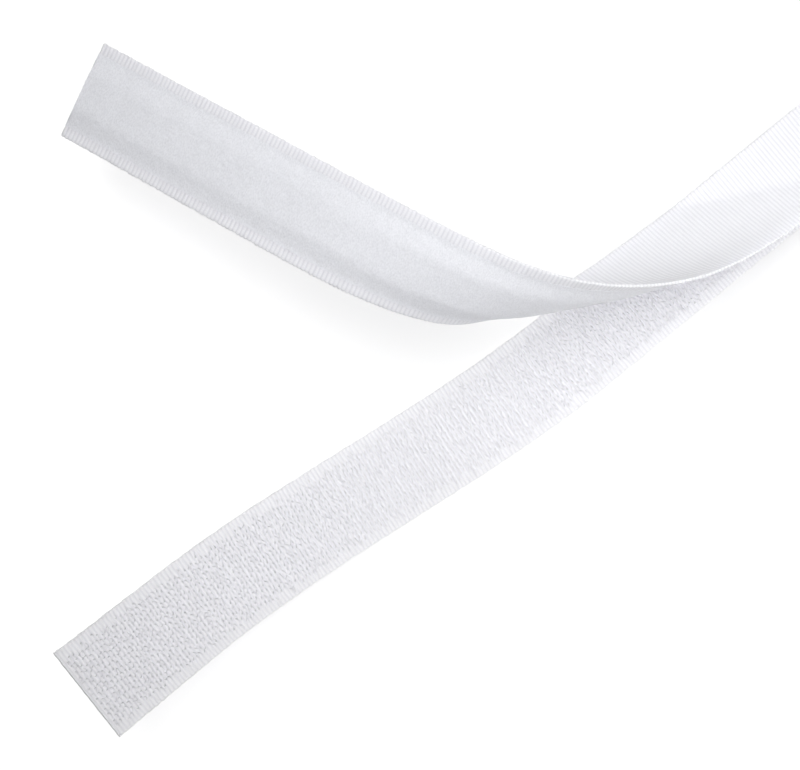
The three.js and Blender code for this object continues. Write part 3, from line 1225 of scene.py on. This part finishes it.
@dataclass
class HookTape:
    """The lower tape: a ribbed ground that carries rows of nylon hooks.

    The hook's path is in its own units, and its crown is the room that the wire takes above the path.
    """

    sizes: TapeSizes
    line: HookLine
    weave: bpy.types.Material
    wire: bpy.types.Material
    flex: Joint
    roll_flex: Joint
    peel_slant: float
    thickness: float = 0.65 * MM
    hook_top: float = 1.83 * MM
    engaged_top: float = 1.75 * MM
    foot: float = 0.15 * MM
    hook_path: Path = (
        (0.0, 0.0), (-0.1, 0.6), (-0.08, 1.08), (0.12, 1.3), (0.46, 1.3), (0.66, 1.12), (0.68, 0.88)
    )
    crown: float = 0.1
    wire_radius: float = 0.078 * MM
    column_pitch: float = 1.22 * MM
    edge_gap: float = 0.35 * MM
    end_gap: float = 0.4 * MM
    along_jitter: float = 0.07 * MM
    across_jitter: float = 0.15 * MM
    turn_jitter: float = 0.3
    height_share: Span = (0.9, 1.03)
    reach_share: Span = (0.85, 1.1)
    end_hooks: float = 0.3
    seed: int = 11

    def ground(self) -> Ground:
        """The woven ground."""
        return Ground(
            self.sizes, 0.0, self.thickness, face_depth=0.13 * MM, back_depth=0.08 * MM, uneven=0.08 * MM
        )

    def hook(self) -> bmesh.types.BMesh:
        """Bends one hook: a stem that leans back and a crook that turns over and down.

        Returns:
            The hook, with its foot at the origin.
        """
        crest = max(height for _, height in self.hook_path)
        scale = (self.hook_top - self.thickness + self.foot) / (crest + self.crown)
        points = tuple((x * scale, z * scale) for x, z in self.hook_path)
        return bent_strand(points, self.wire_radius, sides=4, tip=0.7)

    def spots(self, start: float, end: float, columns: np.ndarray, draws: np.random.Generator) -> Spots:
        """Where hooks stand: in rows on the ribs, each row to one side of the last, some over the cut end.

        Args:
            start: flat x of the first hook.
            end: flat x after the last one.
            columns: places across the tape.
            draws: source of the small differences between hooks.

        Returns:
            The hooks' spots.
        """
        pitch, quarter = self.sizes.rib_pitch, math.pi / 2.0
        first, last = math.ceil(start / pitch), math.floor(end / pitch)
        ribs, places = np.meshgrid(np.arange(first, last), np.arange(len(columns)), indexing="ij")
        rib, place = ribs.ravel(), places.ravel()
        count = len(rib)
        shift = draws.uniform(-0.5, 0.5, last - first)[rib - first] * self.column_pitch
        x = (rib + 0.5) * pitch + draws.normal(0.0, self.along_jitter, count)
        y = columns[place] + shift + draws.normal(0.0, self.across_jitter, count)
        closed = -x - self.peel_slant * y < 0.0
        rise = np.where(closed, self.engaged_top, self.hook_top) - self.thickness
        tall = rise / (self.hook_top - self.thickness) * draws.uniform(*self.height_share, count)
        turn = np.where((rib // 2) % 2 == 0, quarter, -quarter) + draws.normal(0.0, self.turn_jitter, count)
        turn = np.where((x < start + pitch) & (draws.random(count) < self.end_hooks), math.pi, turn)
        base = np.column_stack([x, y, np.full(count, self.thickness - self.foot)])
        size = np.column_stack([draws.uniform(*self.reach_share, count), np.ones(count), tall])
        return Spots(base, turn, size, draws.uniform(0.0, 1.0, count))

    def build(self) -> list[bpy.types.Object]:
        """Builds and dresses both stretches of the tape, and hides the solids that they stand for.

        Returns:
            The pieces.
        """
        draws = np.random.default_rng(self.seed)
        sizes, line, ground = self.sizes, self.line, self.ground()
        half = sizes.half_field - self.edge_gap
        columns = np.linspace(-half, half, round(2.0 * half / self.column_pitch) + 1)
        edges = np.array([side.value * half for side in Side])
        wound_end = line.wound_end(ground.middle)
        free = ground.build("hook_tape_free", Stretch.FREE, line, seed=self.seed + 1)
        free_spots = self.spots(sizes.free_end + self.end_gap, sizes.meeting, columns, draws)
        hooks = strand_field("hooks_free", self.hook(), free_spots, line)
        wound = ground.build("hook_tape_wound", Stretch.WOUND, line, seed=self.seed + 2)
        engaged = Pile(sizes, root=0.7 * MM, face=1.6 * MM, rough=0.04 * MM, edge_round=0.5 * MM)
        bed = engaged.build("hook_bed_wound", Stretch.WOUND, line, seed=self.seed + 3)
        wound_spots = self.spots(sizes.meeting, wound_end - sizes.rib_pitch, edges, draws)
        edge_hooks = strand_field("hooks_wound", self.hook(), wound_spots, line)
        weave, wire = (self.weave, "hook_weave"), (self.wire, "hook_monofilament")
        fit(free, *weave, self.flex, "hook_ground_run", "hook_ground_end")
        fit(hooks, *wire, self.flex, "hook_rows_run", "hook_rows_rise", "hook_rows_end")
        fit(wound, *weave, self.roll_flex, "hook_ground_roll")
        fit(bed, *wire, self.roll_flex, "hook_rows_roll")
        fit(edge_hooks, *wire, self.roll_flex)
        return [free, hooks, wound, bed, edge_hooks]


@dataclass
class LoopTape:
    """The upper tape: a ribbed ground with a napped pile of loops on its face.

    The loop's path is in millimetres.
    """

    sizes: TapeSizes
    line: LoopLine
    weave: bpy.types.Material
    nap: bpy.types.Material
    flex: Joint
    roll_flex: Joint
    half_thickness: float = 0.325 * MM
    pile_root: float = -0.3 * MM
    pile_face: float = -1.2 * MM
    pile_rough: float = 0.035 * MM
    loop_path: Path = ((-0.3, 0.03), (-0.2, 0.0), (-0.07, -0.02), (0.07, -0.02), (0.2, 0.0), (0.3, 0.03))
    loop_pitch: float = 0.8 * MM
    fibre_radius: float = 0.025 * MM
    edge_gap: float = 0.2 * MM
    end_gap: float = 0.5 * MM
    length_share: Span = (0.7, 1.5)
    arch_share: Span = (0.4, 1.2)
    loose_fibres: int = 70
    seed: int = 31

    def ground(self) -> Ground:
        """The woven ground, whose back is up."""
        return Ground(
            self.sizes, -self.half_thickness, self.half_thickness,
            face_depth=0.05 * MM, back_depth=0.06 * MM, uneven=0.02 * MM,
        )

    def loop(self) -> bmesh.types.BMesh:
        """One loop of the pile, brushed down so that it lies on the tape's face."""
        points = tuple((x * MM, z * MM) for x, z in self.loop_path)
        return bent_strand(points, self.fibre_radius, sides=3, tip=1.0)

    def loop_spots(self, pile: Pile, draws: np.random.Generator) -> Spots:
        """Where loops lie: spread evenly over the free pile but not in rows, and a few loose at the edges.

        Args:
            pile: the pile that they lie on.
            draws: source of the differences between them.

        Returns:
            The loops' spots.
        """
        sizes, loose = self.sizes, self.loose_fibres
        half = sizes.half_field - self.edge_gap
        x, y = np.meshgrid(
            np.arange(sizes.free_end + self.end_gap, sizes.meeting, self.loop_pitch),
            np.arange(-half, half, self.loop_pitch), indexing="ij",
        )
        jitter = draws.uniform(-0.5, 0.5, (2, x.size)) * self.loop_pitch
        x, y = x.ravel() + jitter[0], y.ravel() + jitter[1]
        on_pile = np.column_stack([x, y, pile.surface(x, y)])
        loose_x = draws.uniform(sizes.free_end, 0.0, loose)
        side = np.where(draws.random(loose) < 0.5, Side.NEAR.value, Side.FAR.value)
        inside = np.full(loose, -self.half_thickness / 2.0)
        base = np.concatenate([on_pile, np.column_stack([loose_x, side * sizes.half_width, inside])])
        count = len(base)
        length = draws.uniform(*self.length_share, count)
        arch = draws.uniform(*self.arch_share, count)
        turn = draws.uniform(0.0, 2.0 * math.pi, count)
        size = np.column_stack([length, np.ones(count), arch])
        return Spots(base, turn, size, draws.uniform(0.0, 1.0, count))

    def build(self) -> list[bpy.types.Object]:
        """Builds and dresses both stretches of the tape, and hides the solids that they stand for.

        Returns:
            The pieces.
        """
        draws = np.random.default_rng(self.seed)
        sizes, line, ground = self.sizes, self.line, self.ground()
        pile = Pile(sizes, self.pile_root, self.pile_face, self.pile_rough)
        wound_end = line.wound_end(ground.middle)
        free = ground.build("loop_tape_free", Stretch.FREE, line, seed=self.seed + 1)
        nap = pile.build("pile_free", Stretch.FREE, line, seed=self.seed + 2)
        loops = strand_field("loops_free", self.loop(), self.loop_spots(pile, draws), line)
        wound = ground.build("loop_tape_wound", Stretch.WOUND, line, seed=self.seed + 3)
        wound_nap = pile.build("pile_wound", Stretch.WOUND, line, seed=self.seed + 4)
        weave, napped = (self.weave, "loop_weave"), (self.nap, "loop_pile")
        fit(free, *weave, self.flex, "loop_ground_run", "loop_ground_end")
        fit(nap, *napped, self.flex, "loop_pile_run", "loop_pile_end")
        fit(loops, *napped, self.flex)
        fit(wound, *weave, self.roll_flex, "loop_ground_roll", height=line.lift)
        fit(wound_nap, *napped, self.roll_flex, "loop_pile_roll", height=line.lift)
        return [free, nap, loops, wound, wound_nap]


@dataclass
class CoreTube:
    """The board tube that the tape is wound on, with the edges of its plies at both ends."""

    centre: Vector
    board: bpy.types.Material
    radius: float = 19.0 * MM
    wall: float = 3.0 * MM
    half_width: float = 10.0 * MM
    plies: int = 4
    groove: float = 0.12 * MM
    edge: float = 0.25 * MM
    edge_share: float = 0.6
    steps: int = 96
    sharp_angle: float = math.radians(35.0)
    merge: float = 1e-7

    def profile(self) -> Path:
        """Points round the wall's section, whose ends have a groove between plies.

        Returns:
            The points, as radius and place along the core.
        """
        inner, rim = self.radius - self.wall, self.half_width
        ends = [inner + self.wall * ply / self.plies for ply in range(self.plies + 1)]
        slope = self.edge * self.edge_share
        end = [(inner, rim - self.edge)]
        for low, high in zip(ends, ends[1:]):
            end += [(low + slope, rim), (high - slope, rim), (high, rim - self.groove)]
        end[-1] = (self.radius, rim - self.edge)
        return (*end, *((radius, -along) for radius, along in reversed(end)))

    def build(self) -> list[bpy.types.Object]:
        """Spins the wall's section round the core's axis.

        Returns:
            The core tube.
        """
        bm = bmesh.new()
        section = [self.centre + Vector((radius, along, 0.0)) for radius, along in self.profile()]
        spots = [bm.verts.new(point) for point in section]
        edges = [bm.edges.new((a, b)) for a, b in zip(spots, spots[1:] + spots[:1])]
        bmesh.ops.spin(
            bm, geom=[*spots, *edges], cent=self.centre, axis=(0.0, 1.0, 0.0), angle=2.0 * math.pi,
            steps=self.steps, use_merge=True,
        )
        bmesh.ops.remove_doubles(bm, verts=bm.verts[:], dist=self.merge)
        mesh = mesh_from(bm, "core")
        core = finished(mesh, points_of(mesh))
        core.data.set_sharp_from_angle(angle=self.sharp_angle)
        core.data.materials.append(self.board)
        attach(core, "roll")
        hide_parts("core_tube")
        return [core]


@dataclass(frozen=True)
class Lamp:
    """A square soft light, with a grid that narrows its beam."""

    name: str
    place: Vector
    aim: Vector
    power: float
    shadow: bool = True
    size: float = 0.35
    beam: float = math.radians(66.0)

    def build(self) -> None:
        """Adds the light, which no camera sees."""
        data = bpy.data.lights.new(self.name, "AREA")
        data.size = self.size
        data.energy = self.power
        data.spread = self.beam
        data.use_shadow = self.shadow
        lamp = bpy.data.objects.new(self.name, data)
        lamp.location = self.place
        lamp.rotation_mode = "QUATERNION"
        lamp.rotation_quaternion = (self.aim - self.place).to_track_quat("-Z", "Y")
        lamp.visible_camera = False
        bpy.context.scene.collection.objects.link(lamp)


@dataclass
class Studio:
    """A white table under soft light, and a camera that looks down on the peeled tape."""

    target: Vector = at_mm(-86.6, 17.1, 0.0)
    eye: Vector = at_mm(-92.4, 3.4, 284.6)
    image_up: Vector = field(default_factory=lambda: Vector((0.632, 0.775, 0.0)))
    focal_pixels: float = 1385.0
    image_width: float = 800.0
    sensor: float = 36.0
    clip_start: float = 0.01
    floor_half: float = 3.0
    floor_drop: float = 0.15 * MM
    floor_colour: Colour = (0.8, 0.8, 0.8, 1.0)
    near_glow: float = 0.04
    far_glow: float = 0.85
    glow_reach: float = 0.3
    ambient: float = 0.25
    sky_colour: Colour = (1.0, 1.0, 1.0, 1.0)
    aim: Vector = at_mm(5.0, 5.0, 0.0)
    key_place: Vector = at_mm(30.0, 90.0, 330.0)
    fill_place: Vector = at_mm(90.0, -140.0, 260.0)
    key_power: float = 0.18
    fill_power: float = 0.213

    def camera(self) -> None:
        """Sets the camera over the tape, turned so that the image's top is where the photo has it."""
        data = bpy.data.cameras.new("camera")
        data.sensor_width = self.sensor
        data.lens = self.focal_pixels / self.image_width * self.sensor
        data.clip_start = self.clip_start
        back = (self.eye - self.target).normalized()
        right = self.image_up.cross(back).normalized()
        turned = Matrix((right, back.cross(right), back)).transposed()
        eye = bpy.data.objects.new("camera", data)
        eye.location = self.eye
        eye.rotation_mode = "QUATERNION"
        eye.rotation_quaternion = turned.to_quaternion()
        bpy.context.scene.collection.objects.link(eye)
        bpy.context.scene.camera = eye

    @staticmethod
    def seen(graph: Graph) -> bpy.types.NodeSocket:
        """Tells the rays that show the surroundings from those that light the object.

        Args:
            graph: graph of a material or of the world.

        Returns:
            1 for rays that show the surroundings, and 0 for the others.
        """
        path = graph.add("ShaderNodeLightPath")
        camera = graph.math("MAXIMUM", path.outputs["Is Camera Ray"], path.outputs["Is Glossy Ray"])
        return graph.math("MAXIMUM", camera, path.outputs["Is Transmission Ray"])

    def floor(self) -> None:
        """Lays a plain white floor that keeps the object's shadow and stays white away from the light."""
        bm = bmesh.new()
        bmesh.ops.create_grid(bm, x_segments=1, y_segments=1, size=self.floor_half)
        bmesh.ops.translate(bm, verts=bm.verts[:], vec=(0.0, 0.0, -self.floor_drop))
        mesh = bpy.data.meshes.new("floor")
        bm.to_mesh(mesh)
        bm.free()
        floor = bpy.data.objects.new("floor", mesh)
        bpy.context.scene.collection.objects.link(floor)
        made = bpy.data.materials.new("white_table")
        made.use_nodes = True
        graph = Graph(made.node_tree)
        matt = graph.add("ShaderNodeBsdfDiffuse")
        graph.give(matt, {"Color": self.floor_colour})
        away = graph.add("ShaderNodeVectorMath", operation="DISTANCE")
        graph.feed(away.inputs[0], graph.add("ShaderNodeTexCoord").outputs["Object"])
        graph.feed(away.inputs[1], self.aim)
        rise = graph.spread(away.outputs["Value"], self.near_glow, self.far_glow, top=self.glow_reach)
        glow = graph.add("ShaderNodeEmission")
        graph.give(glow, {"Strength": graph.math("MULTIPLY", self.seen(graph), rise)})
        both = graph.add("ShaderNodeAddShader")
        for socket, shader in zip(both.inputs, (matt, glow)):
            graph.feed(socket, shader.outputs[0])
        graph.give(graph.add("ShaderNodeOutputMaterial"), {"Surface": both.outputs[0]})
        mesh.materials.append(made)

    def world(self) -> None:
        """Lights the scene evenly from all round and shows white behind it."""
        world = bpy.data.worlds.new("studio")
        world.use_nodes = True
        graph = Graph(world.node_tree)
        sky = graph.add("ShaderNodeBackground")
        strength = graph.math("MULTIPLY_ADD", self.seen(graph), 1.0 - self.ambient, self.ambient)
        graph.give(sky, {"Strength": strength, "Color": self.sky_colour})
        graph.give(graph.add("ShaderNodeOutputWorld"), {"Surface": sky.outputs[0]})
        bpy.context.scene.world = world

    def build(self) -> None:
        """Builds the whole studio."""
        bpy.context.scene.view_settings.view_transform = "Standard"
        self.camera()
        self.floor()
        self.world()
        Lamp("key", self.key_place, self.aim, self.key_power).build()
        Lamp("fill", self.fill_place, self.aim, self.fill_power, shadow=False).build()


@dataclass(frozen=True)
class Flexing:
    """Where the tapes bend when the part's joints move. The joints' own places come from the frame."""

    hook_length: float = 20.0 * MM
    loop_length: float = 16.0 * MM
    roll_length: float = 12.5 * MM
    loop_fold: float = 84.0 * MM
    roll_lean: float = math.radians(60.0)

    def joints(self, loop_line: LoopLine) -> tuple[Joint, Joint, Joint]:
        """Sets up the three bends.

        Args:
            loop_line: line of the loop tape.

        Returns:
            The bends of the hook end, of the loop end and of the roll.
        """
        known = {joint["name"]: joint for joint in frame["joints"]}
        places = {name: Vector(joint["pos_m"]) for name, joint in known.items()}
        on_table = Vector((1.0, 1.0, 0.0))
        hook_way = UP.cross(Vector(known["hook_flex"]["axis"]))
        roll_way = Vector((math.cos(self.roll_lean), 0.0, math.sin(self.roll_lean)))
        return (
            Joint("hook_end", places["hook_flex"] * on_table, hook_way, self.hook_length),
            Joint("loop_end", places["loop_flex"], loop_line.bend_way(self.loop_fold), self.loop_length),
            Joint("roll", places["roll_flex"] * on_table, roll_way, self.roll_length),
        )


def main() -> None:
    """Builds the tapes, the core and the studio, and reports each piece."""
    logging.basicConfig(level=logging.INFO, format="%(message)s")
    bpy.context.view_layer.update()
    hook_sizes, loop_sizes = TapeSizes(free_ribs=206.5), TapeSizes(free_ribs=194.0)
    roll, effects = Roll(), Effects()
    hook_line, loop_line = HookLine(roll), LoopLine(roll)
    hook_weave = WeaveFinish("hook_weave", hook_sizes.rib_pitch).material(effects)
    # painted shade: the loop weave's gap colour, lighter than the hook weave's, shades the gaps between its
    # threads
    loop_weave = WeaveFinish(
        "loop_weave", loop_sizes.rib_pitch, gap_shade_colour=(0.745, 0.745, 0.785, 1.0),
        thread_colour=(0.89, 0.89, 0.925, 1.0), gap_shade_power=0.8,
    ).material(effects)
    wire = MonofilamentFinish().material(effects)
    nap = PileFinish().material(effects)
    board = BoardFinish(roll.centre).material(effects)
    hook_flex, loop_flex, roll_flex = Flexing().joints(loop_line)

    slant = loop_line.peel_slant
    pieces = HookTape(hook_sizes, hook_line, hook_weave, wire, hook_flex, roll_flex, slant).build()
    pieces += LoopTape(loop_sizes, loop_line, loop_weave, nap, loop_flex, roll_flex).build()
    pieces += CoreTube(roll.centre, board).build()
    Studio().build()
    for piece in pieces:
        log.info("%s: %d faces", piece.name, len(piece.data.polygons))


if __name__ == "__main__":
    main()
